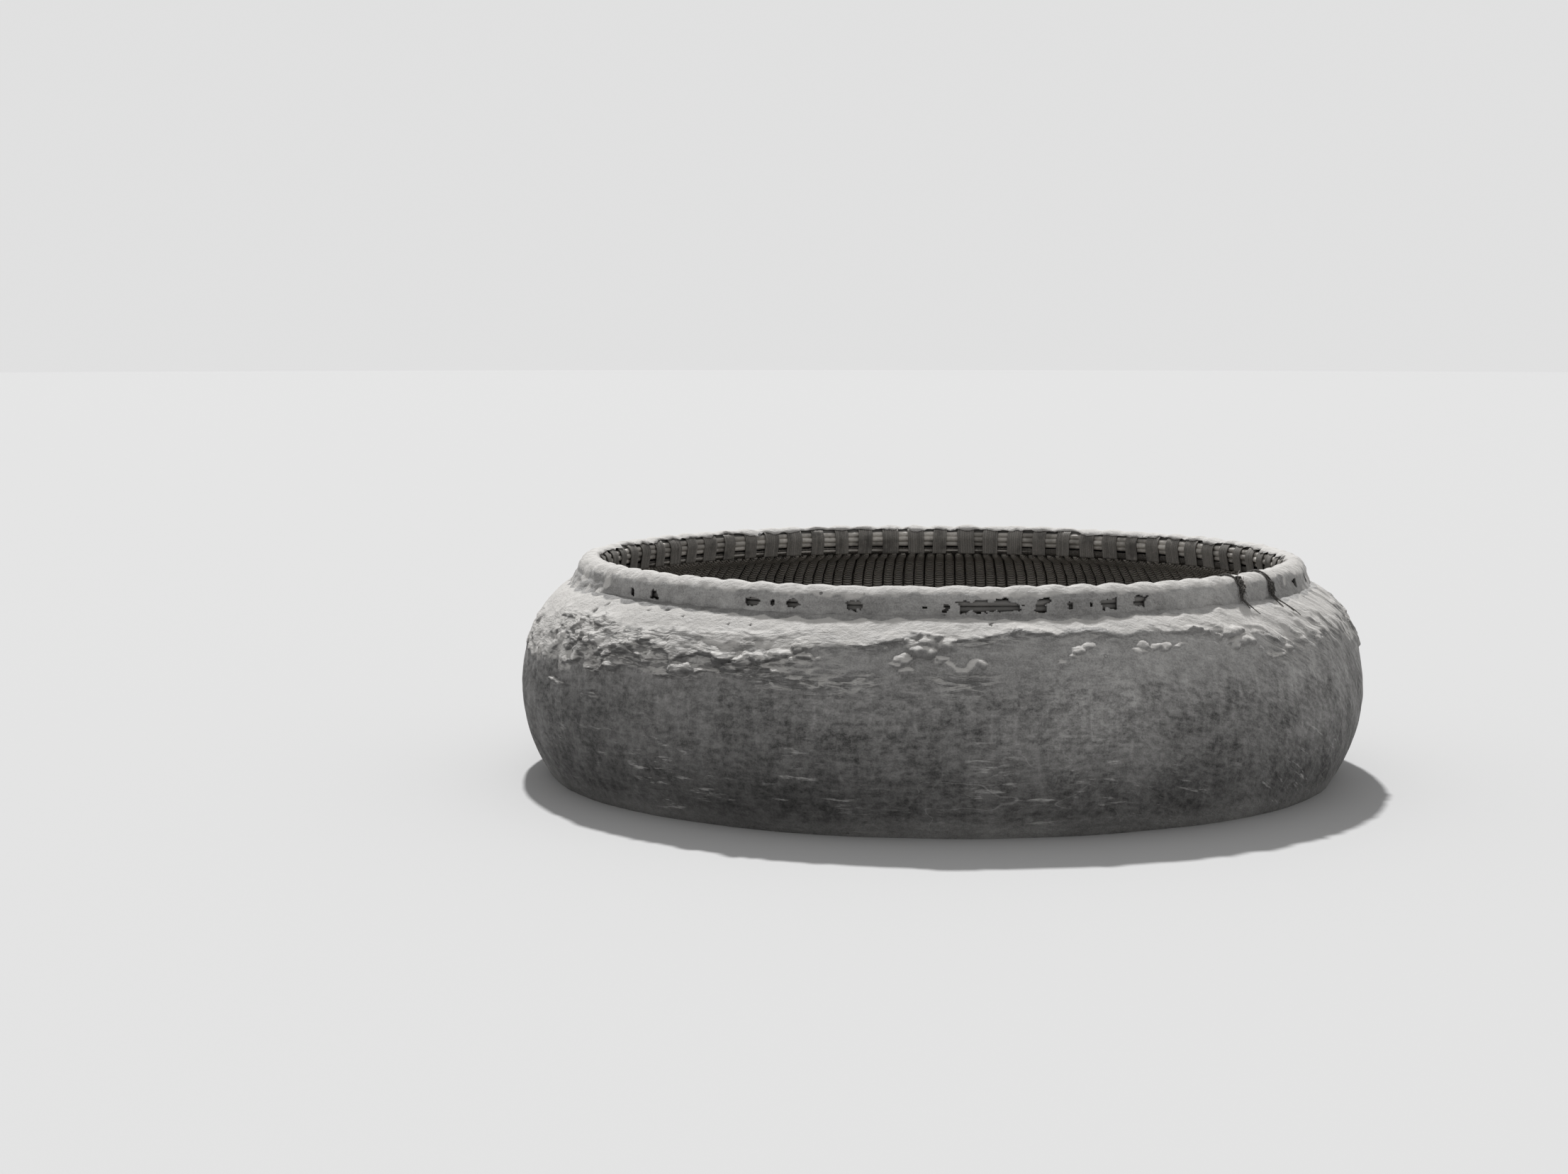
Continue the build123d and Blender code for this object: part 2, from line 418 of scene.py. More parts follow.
def bitumen_material():
    """Old bitumen: pale above with dust and painted sunlight, bare below, with wrinkles, folds, lumps
    and pits, and painted highlights and shade over its relief.
    """
    n = Nodes("bitumen")
    n.slant(n.attribute("lift"))
    relief = n.attribute("relief")
    wrinkled = n.attribute("wrinkled")
    mottle = n.noise(30, stretch=(1, 1, 1.6), detail=6, roughness=0.68, distortion=0.2)
    blotches = n.noise(8.5, detail=5, roughness=0.62)
    bands = n.noise(22, stretch=(0.32, 0.32, 2.2), detail=5, roughness=0.62, distortion=0.5)
    sparse = n.noise(3.4, detail=3)
    wrinkles = n.noise(21, stretch=(0.5, 0.5, 2.6), detail=3, roughness=0.5, distortion=1.3)
    pits = n.times(n.ranged(n.cells(10), 0.085, 0.055), n.ranged(sparse, 0.44, 0.50))
    # The pale colour: dust, and painted sunlight on the up-facing shoulder and on the tops of lumps
    dusty = n.tinted(
        n.mix(n.ranged(blotches, 0.3, 0.7), grey(0.46, 0.03), grey(0.54, 0.03)),
        (n.ranged(mottle, 0.54, 0.72, 0, 0.38), grey(0.30, 0.03)),
        (n.times(pits, 0.8), grey(0.10, 0.02)),
    )
    patchy = n.plus(n.attribute("dust"), n.times(n.math("SUBTRACT", mottle, 0.5), 0.8))
    colour = n.tinted(
        bare_bitumen(n, mottle, blotches, bands, sparse),
        (n.ranged(patchy, 0.20, 0.82), dusty),
        # Painted shade in the wrinkles' troughs and painted highlight on their crests, over the bump of
        # the same wrinkles
        (n.times(wrinkled, n.ranged(wrinkles, 0.49, 0.41, 0, 0.72)), grey(0.11, 0.02)),
        (n.times(wrinkled, n.ranged(wrinkles, 0.52, 0.60, 0, 0.78)), grey(0.50, 0.03)),
        # Painted highlight on raised tops and painted shade under folds, in grooves and pits and on the
        # windows' walls
        (n.ranged(relief, 0.15, 1.0, 0, 0.6), grey(0.52, 0.03)),
        (n.ranged(relief, -0.10, -1.0, 0, 0.75), grey(0.06, 0.02)),
    )
    return n.finish(
        colour,
        n.ranged(blotches, 0.3, 0.7, 0.62, 0.88),
        (mottle, 0.0085),
        (bands, 0.0038),
        (n.times(wrinkled, wrinkles), 0.0300),
        (n.noise(70, stretch=(1, 1, 1.7), detail=5, roughness=0.62), 0.0030),
        (pits, -0.0040),
        (n.noise(230, detail=3), 0.0005),
    )


def basketry_material():
    """Coiled rush basketry, dark with age and damp, its stitches close together."""
    n = Nodes("basketry")
    stitch = n.stitches(0.009)
    fibres = n.noise(240, detail=3)
    colour = n.mix(n.ranged(n.noise(5, detail=5), 0.3, 0.7), grey(0.16, 0.08), grey(0.28, 0.08))
    colour = n.mix(n.ranged(stitch, -0.4, 0.9, 0, 0.5), grey(0.035, 0.08), colour)
    colour = n.mix(n.ranged(fibres, 0.45, 0.7, 0, 0.4), colour, grey(0.24, 0.1))
    return n.finish(colour, 0.85, (stitch, 0.0014), (fibres, 0.0006))


def rib_material():
    """Split withies, dark and greasy, sewn down by fine cord every few millimetres."""
    n = Nodes("rib withies")
    stitch = n.stitches(0.0135)
    fibres = n.noise(120, stretch=(1, 1, 0.3), detail=4)
    colour = n.tinted(
        n.mix(n.ranged(n.noise(3.2, detail=5), 0.3, 0.72), grey(0.38, 0.05), grey(0.58, 0.06)),
        (n.ranged(fibres, 0.35, 0.7, 0, 0.5), grey(0.64, 0.06)),
        (n.ranged(stitch, 0.1, 0.95, 0, 0.75), grey(0.12, 0.05)),
    )
    return n.finish(colour, 0.74, (stitch, 0.0038), (fibres, 0.0008))


def withy_material():
    """Peeled withies, weathered grey and stained, and tarred where they face outward."""
    n = Nodes("peeled withies")
    grain = n.noise(90, stretch=(1, 1, 6), detail=4)
    tar = n.math("SUBTRACT", n.attribute("tarred"), n.ranged(grain, 0.5, 0.8, 0, 0.3))
    colour = n.tinted(
        n.mix(n.attribute("shade"), grey(0.32, 0.06), grey(0.72, 0.05)),
        (n.ranged(grain, 0.45, 0.7, 0, 0.4), grey(0.2, 0.09)),
        (n.ranged(n.noise(9, detail=5), 0.48, 0.66, 0, 0.7), grey(0.14, 0.07)),
        (n.times(tar, 0.90), grey(0.16, 0.03)),
    )
    return n.finish(colour, 0.66, (grain, 0.0008))


def lashing_material():
    """Flat palm-leaf bands: grey-brown strands, stained by the bitumen."""
    n = Nodes("palm lashings")
    fibres = n.noise(180, detail=4)
    colour = n.tinted(
        n.mix(n.attribute("shade"), grey(0.15, 0.05), grey(0.23, 0.05)),
        (n.ranged(n.attribute("strand"), 0.6, 0.1, 0, 0.45), grey(0.06, 0.06)),
        (n.ranged(fibres, 0.45, 0.72, 0, 0.45), grey(0.33, 0.09)),
        (n.ranged(n.noise(14, detail=5), 0.52, 0.7, 0, 0.6), grey(0.06, 0.06)),
    )
    return n.finish(colour, 0.8, (fibres, 0.0008))


def rope_material():
    """Hairy palm-fibre rope, dark grey, with bleached ends."""
    n = Nodes("rope")
    fibres = n.noise(220, stretch=(1, 1, 0.5), detail=4)
    colour = n.tinted(
        n.mix(n.ranged(fibres, 0.38, 0.7), grey(0.04, 0.06), grey(0.16, 0.06)),
        (n.ranged(n.noise(20, detail=4), 0.5, 0.72, 0, 0.5), grey(0.06, 0.05)),
        (n.attribute("bleached"), grey(0.50, 0.05)),
    )
    return n.finish(colour, 0.88, (fibres, 0.0012))


bitumen = bitumen_material()
basketry = basketry_material()
rib_withy = rib_material()
withy = withy_material()
palm = lashing_material()
rope = rope_material()


# The coat's folds, by turn in degrees: middle, half width, lower and upper height, strength
FOLD_BELTS = [
    (-161, 13, 0.665, 0.800, 0.45), (-140, 16, 0.662, 0.825, 1.0), (-121, 14, 0.688, 0.795, 1.0),
    (-117, 13, 0.805, 0.842, 0.45), (-150.0, 3.0, 0.560, 0.582, 0.8),
    (-144.5, 2.6, 0.540, 0.560, 0.8), (-36, 13, 0.700, 0.800, 0.45), (12, 30, 0.680, 0.850, 0.7),
    (78, 34, 0.690, 0.860, 0.85), (142, 24, 0.690, 0.850, 0.85),
]
# The ledge down to which the coat is pale and full: turn in degrees, height
LEDGE = [
    (-180, 0.665), (-158, 0.650), (-149, 0.648), (-136, 0.662), (-129, 0.672), (-124, 0.690),
    (-117, 0.712), (-111.5, 0.735), (-109, 0.800), (-103, 0.802), (-99, 0.823), (-95.5, 0.843),
    (-89, 0.828), (-82, 0.841), (-72, 0.837), (-63, 0.845), (-56, 0.831), (-49.7, 0.790),
    (-34, 0.742), (-15, 0.700), (20, 0.745), (60, 0.800), (95, 0.820), (125, 0.785), (180, 0.665),
]
# Single lumps of bitumen below the ledge: turn in degrees, height, width, tallness
LUMPS = [
    (-126.7, 0.694, 0.100, 0.030), (-121.1, 0.737, 0.070, 0.042), (-119.6, 0.709, 0.062, 0.026),
    (-118.0, 0.732, 0.061, 0.034), (-115.9, 0.752, 0.070, 0.034), (-113.7, 0.764, 0.060, 0.024),
    (-113.9, 0.708, 0.080, 0.018), (-111.7, 0.744, 0.044, 0.021), (-111.1, 0.790, 0.040, 0.034),
    (-110.9, 0.686, 0.044, 0.013), (-109.5, 0.761, 0.052, 0.016),
    (-98.5, 0.741, 0.030, 0.022), (-97.9, 0.760, 0.052, 0.030), (-97.1, 0.722, 0.036, 0.034),
    (-96.7, 0.806, 0.046, 0.030), (-95.4, 0.787, 0.080, 0.038), (-94.3, 0.823, 0.070, 0.040),
    (-93.2, 0.762, 0.050, 0.026), (-92.5, 0.810, 0.062, 0.032),
    (-78.2, 0.751, 0.022, 0.020), (-76.3, 0.768, 0.038, 0.016), (-75.9, 0.788, 0.048, 0.022),
    (-74.4, 0.797, 0.042, 0.019), (-67.4, 0.779, 0.028, 0.022), (-66.6, 0.799, 0.046, 0.021),
    (-64.7, 0.783, 0.064, 0.024), (-63.6, 0.794, 0.034, 0.018), (-61.1, 0.788, 0.066, 0.014),
    (-58.2, 0.835, 0.036, 0.022), (-56.4, 0.822, 0.036, 0.016), (-54.7, 0.806, 0.034, 0.020),
    (-52.0, 0.766, 0.040, 0.022), (-51.8, 0.817, 0.101, 0.026), (-50.6, 0.782, 0.110, 0.026),
    (-45.5, 0.724, 0.075, 0.014), (-42.7, 0.737, 0.040, 0.026),
]
# A curled sag on the side: turn in degrees and height of each point, and its girth
SAG = [
    (-93.6, 0.755), (-92.6, 0.750), (-91.9, 0.740), (-91.2, 0.724), (-90.7, 0.718), (-90.2, 0.717),
    (-89.7, 0.723), (-89.4, 0.738), (-89.1, 0.750), (-88.6, 0.754), (-87.9, 0.742),
]
SAG_GIRTH = 0.018
# Small pits in the pale shoulder: turn in degrees, height, width, tallness
PITS = [
    (-156.6, 0.743, 0.034, 0.030), (-149.4, 0.847, 0.036, 0.022), (-148.3, 0.877, 0.022, 0.016),
    (-137.7, 0.878, 0.018, 0.014), (-134.2, 0.888, 0.018, 0.014), (-130.6, 0.871, 0.016, 0.013),
    (-122.8, 0.859, 0.022, 0.013), (-119.1, 0.860, 0.016, 0.012), (-86.4, 0.868, 0.018, 0.014),
    (60.0, 0.866, 0.020, 0.014), (110.0, 0.872, 0.018, 0.013),
]
# How far each kind of relief stands out, in metres
SWELL, SMALL_SWELL, DIMPLE = 0.0050, 0.0030, 0.0012
LUMP, FOLD, FINE_FOLD = 0.0210, 0.0055, 0.0062
STREAK, LEDGE_LIP, RIPPLE = 0.0095, 0.0085, 0.0036
LINE_DEPTH, PIT_DEPTH = 0.0022, 0.0050


def degrees_from(degrees, middle):
    """How far turns in degrees lie from a middle, the short way round."""
    return (degrees - middle + 180) % 360 - 180


def belt_strength(degrees, heights, ragged):
    """Where the coat is folded, and where it is lumpy too, from 0 to 1; ragged breaks the edges."""
    folded = np.zeros(heights.shape)
    lumpy = folded.copy()
    for middle, half, low, high, strength in FOLD_BELTS:
        distance = np.abs(degrees_from(degrees, middle)) + 1.5 * ragged
        soft = min(0.020, 0.4 * (high - low))
        shifted = heights + soft * ragged
        here = between(shifted, low - soft, low + 0.3 * soft, high - soft, high + soft)
        here = here * (1 - step(distance, half * 0.55, half * 1.3)) * strength
        folded = np.maximum(folded, here)
        lumpy = np.maximum(lumpy, here * (1 - 0.85 * step((shifted - low) / (high - low), 0.55, 0.95)))
    return folded, lumpy


def sag_height(degrees, heights):
    """How far the sag stands out, as a round-backed roll, and where its upper part is, for a painted
    highlight.
    """
    stand = np.zeros(degrees.shape)
    painted_highlight_top = stand.copy()
    scale = radians(SIDE_RADIUS)
    for (first, first_height), (last, last_height) in zip(SAG[:-1], SAG[1:]):
        x, y = (degrees - first) * scale, heights - first_height
        dx, dy = (last - first) * scale, last_height - first_height
        share = np.clip((x * dx + y * dy) / (dx * dx + dy * dy), 0, 1)
        above = (y - share * dy) / SAG_GIRTH
        body = np.clip(1 - np.hypot((x - share * dx) / SAG_GIRTH, above) ** 2, 0, 1)
        stand = np.maximum(stand, 0.8 * SAG_GIRTH * body**0.7)
        painted_highlight_top = np.maximum(painted_highlight_top, step(body, 0, 0.35) * step(above, -0.35, 0.25))
    return stand, painted_highlight_top


def spots(degrees, heights, places, grown=1.0):
    """Domes from 0 to 1 over spots on the side, how high each could stand, and the height in it."""
    dome = np.zeros(degrees.shape)
    size = dome.copy()
    above = dome.copy()
    for middle, height, wide, tall in places:
        across = radians(SIDE_RADIUS) * degrees_from(degrees, middle) / (grown * wide / 2)
        up = (heights - height) / (grown * tall / 2)
        here = np.clip(1 - across**2 - up**2, 0, 1)
        reach = min(wide, 1.6 * tall)
        taller = here * reach > dome * size
        dome = np.where(taller, here, dome)
        size = np.where(taller, reach, size)
        above = np.where(taller, up, above)
    return dome, size, above


def slant_lift(degrees):
    """How far patterns are shifted up, so that they slant down on the right shoulder."""
    return np.interp(degrees, [-180, -70, -50, -30, -8, 40, 180], [0, 0, 0.13, 0.40, 0.88, 0.75, 0])


def fold_wave(place, spacing, seed):
    """Sagging folds, one below the other, that stand out most just above their lower edges."""
    bend = 0.036 * noise(place, (0.25, 0.25, 0.11), seed)
    bend = bend + 0.017 * noise(place, (0.075, 0.075, 0.045), seed + 1)
    bend = bend + 0.006 * noise(place, 0.030, seed + 2)
    share = ((place[..., 2] + bend) / spacing) % 1
    return step(share, 0, 0.30) * (1 - share) ** 0.8


def sagging_lumps(place):
    """Soft lumps with hollows between, from 0 to 1."""
    size = np.array([0.066, 0.066, 0.033])
    bent = place + upward(0.016 * noise(place, 0.085, 6))
    return np.clip(0.22 + 0.85 * (noise(bent, size, 7) + 0.28 * noise(bent, size * 0.48, 8)), 0, 1)


def draped(points, place):
    """Ridges of bitumen that have run down over each other, from 0 to about 1.3."""
    bent = place + upward(0.020 * noise(points, 0.13, 23) + 0.008 * noise(points, 0.05, 24))
    return ridges(bent, (0.15, 0.15, 0.040), 8, 1.2) + 0.30 * ridges(bent, (0.15, 0.15, 0.018), 13, 3)


def rolls_and_pits(points, degrees, heights):
    """How far the sag and the lumps stand out, where their tops are for a painted highlight, and where
    the pits are.
    """
    rough = 0.42 * noise(points, 0.040, 17) + 0.16 * noise(points, 0.018, 25)
    rough_up = 0.0050 * noise(points, 0.034, 18) + 0.0022 * noise(points, 0.016, 26)
    rolls, painted_highlight_top = sag_height(degrees + 0.4 * rough, heights + 0.5 * rough_up)
    dome, size, above = spots(degrees + rough, heights + rough_up, LUMPS, 1.4)
    rolls = np.maximum(rolls, 0.46 * size * dome**0.7) * (0.9 + 0.2 * noise(points, 0.030, 20))
    painted_highlight_top = np.maximum(painted_highlight_top, step(dome, 0, 0.25) * step(above, -0.75, 0.05))
    return rolls, painted_highlight_top, spots(degrees + rough, heights + rough_up, PITS)[0]


def coat_relief(points):
    """How the coat stands out and droops; where it is raised, pale with dust and painted light, hollow
    and wrinkled.
    """
    degrees = np.degrees(np.arctan2(points[..., 1], points[..., 0]))
    heights = points[..., 2]
    place = points + upward(slant_lift(degrees))
    ragged = layers(points, 0.11, 12)
    broken = np.clip(0.35 + 1.1 * noise(place, (0.085, 0.085, 0.045), 11), 0, 1)
    blobs = sagging_lumps(place)

    folded, lumpy = belt_strength(degrees, heights, ragged)
    fine = np.clip(folded - 0.6 * lumpy, 0, 1) * fold_wave(place, 0.0145, 9) * (0.15 + 0.85 * broken)
    fold = lumpy * (LUMP * blobs + FOLD * fold_wave(place, 0.028, 4) * broken) + FINE_FOLD * fine
    fold = fold * np.clip(0.90 + 0.4 * noise(points, 0.17, 14), 0.6, 1)

    streaked = between(degrees, -66, -54, -16, -6) * step(heights, 0.70, 0.76)
    streaks = draped(points, place) * (0.20 + 0.80 * streaked) * step(heights, 0.50, 0.7)
    streaks = streaks * (0.25 + 0.75 * broken)

    below = heights - np.interp(degrees, *zip(*LEDGE))
    below = below - 0.010 * noise(points, 0.16, 15) - 0.006 * noise(points, 0.05, 16)
    ledge = bell(below, 0, np.where(below > 0, 0.050, 0.010)) * (1 - 0.8 * folded)
    ledge = ledge * (0.25 + 0.75 * between(degrees, -114, -106, -58, -44))
    ripples = fold_wave(place, 0.016, 7) * bell(below, 0.004, 0.026) * (0.4 + 0.6 * blobs)
    lines = ridges(place, (0.40, 0.40, 0.024), 19, 6) * bell(heights, 0.688, 0.020)
    lines = lines * between(degrees, -118, -108, -86, -74) * (1 - lumpy)

    rolls, painted_highlight_top, pitted = rolls_and_pits(points, degrees, heights)
    stand = SWELL * noise(points, 0.62, 1) + SMALL_SWELL * noise(points, 0.24, 2)
    stand = stand + DIMPLE * layers(points, 0.075, 3) + fold + LEDGE_LIP * ledge + RIPPLE * ripples
    stand = stand + STREAK * streaks - LINE_DEPTH * lines + rolls - PIT_DEPTH * step(pitted, 0, 0.7)
    droop = 0.40 * (fold + 0.7 * rolls + 0.004 * ledge + 0.003 * ripples)
    raised = np.clip(1.4 * folded + 110 * rolls + 1.5 * ledge + 0.7 * streaked, 0, 1)

    # Pale above the ledge: partly dust, partly painted sunlight on the up-facing shoulder. Less pale in
    # the hollows between the blobs, as painted shade, and pale on the tops of the sag and lumps, as a
    # painted highlight
    loose = np.maximum(folded, 0.9 * step(-degrees, 122, 138))
    soft = 0.012 + 0.030 * loose
    dust = step(below + (0.012 + 0.014 * loose) * ragged, -soft, soft)
    dust = np.maximum(dust * (1 - 0.38 * lumpy * (1 - 0.5 * blobs)), 0.7 * painted_highlight_top)
    # Painted shade in the grooves of the lines and in the pits
    hollow = -0.55 * lines - 0.9 * step(pitted, 0.1, 0.6)

    belly = between(heights, 0.600, 0.675, 0.690, 0.730) * between(degrees, -128, -112, -84, -66)
    belly = belly * step(layers(points, 0.20, 28), -0.5, 0.5)
    near_ledge = bell(below, -0.009, 0.022) * between(degrees, -116, -108, -70, -50)
    near_ledge = near_ledge * (0.4 + 0.6 * broken)
    wrinkled = 0.95 * np.maximum.reduce([folded, belly, near_ledge])
    return stand, droop, raised, dust, hollow, wrinkled


# Rows of the coat, closer together where it is folded: from a slope to a slope, and how many
SIDE_ROWS = [(-90, -55, 5), (-55, -LOW_TURN, 6), (-LOW_TURN, 0, 28), (0, 8, 6)]
SHOULDER_ROWS = [(8, HIGH_TURN, 34), (HIGH_TURN, 50, 36), (50, SHOULDER_ANGLE, 14)]
# How light the bare coat is: tones by height, and shares of them by turn in degrees
SIDE_TONES = [
    (0.00, 0.15), (0.09, 0.27), (0.12, 0.28), (0.15, 0.23), (0.19, 0.145), (0.25, 0.130),
    (0.36, 0.165), (0.50, 0.205), (0.62, 0.255), (0.72, 0.315), (0.80, 0.340), (0.92, 0.330),
]
TURN_TONES = [(-180, 0.85), (-150, 0.64), (-115, 0.69), (-92, 0.99), (-60, 1.0), (-20, 1.0), (180, 0.85)]
BACK_TONE = 0.1


def grid_normals(points):
    """Unit normals of a grid that closes round the boat, from the neighbours on all sides."""
    around = np.roll(points, -1, axis=1) - np.roll(points, 1, axis=1)
    return unit(np.cross(around, np.gradient(points, axis=0)))


def with_back(marks, rows, **backs):
    """Marks of a shell's front with those of its back after them, 0 where no other is named."""
    return {
        name: np.concatenate([values, np.full((rows, values.shape[1]), backs.get(name, 0.0))])
        for name, values in marks.items()
    }


def coat_marks(points, slopes, turns, tilt, relief):
    """The values from which the coat's material on the hull takes its colour and pattern."""
    raised, dust, hollow, wrinkled = relief
    heights = points[..., 2]
    degrees = np.degrees(np.arctan2(points[..., 1], points[..., 0]))
    # Raised parts that face up get dust and a painted highlight; those that face down get painted shade
    top_side = step(tilt, -0.02, 0.42) * raised
    painted_shade_under = step(-tilt, -0.02, 0.52) * raised
    dust = np.clip(dust + 0.8 * top_side - 0.85 * painted_shade_under + 0.10 * layers(points, 0.3, 21), 0, 1)
    beat = np.abs(np.cos(0.5 * LASHING_COUNT * turns + 0.3))
    # The rim's shadow on the shoulder, painted as a scalloped strip that is less pale
    painted_rim_shadow = step(slopes[:, None] + 3.4 * beat + 0.6 * layers(points, 0.10, 27), 61.6, 62.8)
    tone = np.interp(heights, *zip(*SIDE_TONES)) * np.interp(degrees, *zip(*TURN_TONES))
    return {
        "dust": dust * (1 - 0.80 * painted_rim_shadow),
        # Painted highlight on raised tops, and painted shade under them, in grooves and in pits
        "relief": np.clip(hollow - 0.62 * painted_shade_under + 0.34 * top_side * raised, -1, 1),
        "low": (1 - step(heights, 0.30, 0.60)) * step(heights, 0.11, 0.16),
        "tone": tone * (1 + 0.10 * layers(points, 0.5, 22)),
        "mottled": (1 - 0.55 * step(heights, 0.60, 0.74)) * (0.35 + 0.65 * step(heights, 0.13, 0.20)),
        "lift": slant_lift(degrees),
        "wrinkled": wrinkled,
    }


def make_coat_hull():
    """The bitumen coat on the hull: a finely folded shoulder and a smoother side on one surface."""
    turns = near_and_far_turns(760, 270)
    runs = [np.linspace(*run, endpoint=False) for run in SIDE_ROWS + SHOULDER_ROWS]
    on_hull = np.concatenate([*runs, [SHOULDER_ANGLE]])
    slopes = np.concatenate([on_hull, [66, 68, 70]])
    neck = rim_point(NECK_ANGLE, NECK_RADIUS)
    neck_rows = SHOULDER_END + (neck - SHOULDER_END) * np.array([[0.35], [0.7], [1.0]])
    outline = np.concatenate([hull_point(on_hull), neck_rows])
    normals = direction(np.concatenate([on_hull, [75, 85, 90]]))
    points = turned(outline[:, None], turns)
    outward = turned(normals[:, None], turns)
    downward = turned((normals[:, ::-1] * [1, -1])[:, None], turns)
    stand, droop, *relief = coat_relief(points)
    free = step(slopes, -90, -70)[:, None] * (1 - 0.8 * step(slopes, 60, 66)[:, None])
    drooping = step(slopes, 8, 14)[:, None] * free
    outer = points + outward * (stand * free)[..., None] + downward * (droop * drooping)[..., None]
    shading = grid_normals(outer)
    marks = coat_marks(points, slopes, turns, shading[..., 2] - outward[..., 2], relief)
    split = sum(count for _, _, count in SIDE_ROWS)
    side_back = hull_point([8, -10, -35, -62, -90], COAT_THICKNESS)
    shoulder_back = hull_point([62, 44, 26, 8], COAT_THICKNESS)
    shoulder_back = np.concatenate([[neck - [0.012, 0.004]], shoulder_back])
    for name, rows, back in (
        ("coat_side", slice(0, split + 1), side_back),
        ("coat_shoulder", slice(split, len(slopes)), shoulder_back),
    ):
        shell = np.concatenate([outer[rows], turned(back[:, None], turns)])
        inward = -turned(np.repeat([[[1.0, 0.0]]], len(back), 0), turns)
        here = {mark: values[rows] for mark, values in marks.items()}
        piece = make_object(
            name, shell, grid_faces(*shell.shape[:2]), "bitumen", bitumen,
            normals=np.concatenate([shading[rows], inward]),
            **with_back(here, len(back), tone=BACK_TONE),
        )
        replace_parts(piece, "bitumen_side")


# Flaked windows in the rim's outer face: turn in degrees, height, width, tallness
RIM_WINDOWS = [
    (-144.8, 0.929, 0.028, 0.022), (-139.2, 0.930, 0.044, 0.033), (-120.7, 0.934, 0.048, 0.032),
    (-117.2, 0.936, 0.021, 0.021), (-114.3, 0.936, 0.053, 0.032), (-105.4, 0.935, 0.052, 0.042),
    (-95.2, 0.936, 0.031, 0.021), (-92.3, 0.936, 0.021, 0.031), (-86.7, 0.938, 0.239, 0.040),
    (-79.0, 0.938, 0.068, 0.042), (-74.8, 0.938, 0.021, 0.021), (-71.8, 0.937, 0.021, 0.021),
    (-68.7, 0.941, 0.069, 0.042), (-63.9, 0.943, 0.053, 0.042), (-25.5, 0.941, 0.029, 0.029),
    (-16.4, 0.939, 0.023, 0.029), (38.0, 0.938, 0.060, 0.030), (61.0, 0.940, 0.110, 0.036),
    (97.0, 0.936, 0.040, 0.028), (128.0, 0.938, 0.075, 0.034), (131.5, 0.940, 0.028, 0.024),
    (166.0, 0.937, 0.052, 0.030),
]
# Where the neck under the rim is filled by folds: turn in degrees, half width, size
NECK_FILLS = [(-168, 20, 1.0), (-20, 18, 0.6), (60, 30, 0.5), (150, 28, 0.8)]
# Rows over the bundle and below it, and how strongly the coat is scalloped
BUNDLE_ROWS, FOOT_ROWS = 28, 12
SCALLOP = 0.0085
# How the creases in a filled neck lean, in metres for a degree of turn away from the middle
CREASE_MIDDLE, CREASE_LEAN = -100, 0.0025
RIM_TONE = 0.335


def window_depth(degrees, heights, ragged):
    """Above 0 inside a flaked window; ragged is noise that tears its edge."""
    deepest = np.full(heights.shape, -1.0)
    for middle, height, width, tall in RIM_WINDOWS:
        across = np.abs(radians(RIM_FACE_RADIUS) * degrees_from(degrees, middle)) / (width / 2)
        up = np.abs(heights - height) / (tall / 2)
        deepest = np.maximum(deepest, 1 - (across**3 + up**3) ** (1 / 3) + 0.42 * ragged)
    return deepest


def curve(first, middle, last, share):
    """Points on a curve from first to last that starts towards middle and ends away from it."""
    share = share[..., None]
    return first * (1 - share) ** 2 + middle * 2 * share * (1 - share) + last * share**2


def neck_lines(turns, ring, beat, fill, upper, upper_back):
    """The coat's outer and back lines from the shoulder up to the bundle, one for each turn."""
    degrees = np.degrees(turns)
    down = np.linspace(0, 1, FOOT_ROWS, endpoint=False)[:, None] * np.ones(len(turns))
    slope = 67.5 - 0.8 * noise(ring, 0.13, 34) - 0.5 * noise(ring, 0.035, 35) - 1.4 * beat - 7 * fill
    foot = hull_point(slope, 0.0060)
    swelling = np.stack([0.0005 + 0.012 * fill, -0.026 + 0.006 * fill], -1)
    lower = curve(foot, upper + swelling, upper, down)
    face = turned(lower, turns)
    lean = slant_lift(degrees) + CREASE_LEAN * np.abs(degrees - CREASE_MIDDLE)
    creases = 0.006 * fill * (ridges(face + upward(lean), (0.09, 0.09, 0.022), 43, 2) - 0.5)
    lower[..., 0] += (0.0012 * noise(face, 0.06, 41) + creases) * np.sin(pi * down)
    return lower, curve(foot - [0.002, 0.003], upper_back + [0.003, -0.040], upper_back, down)


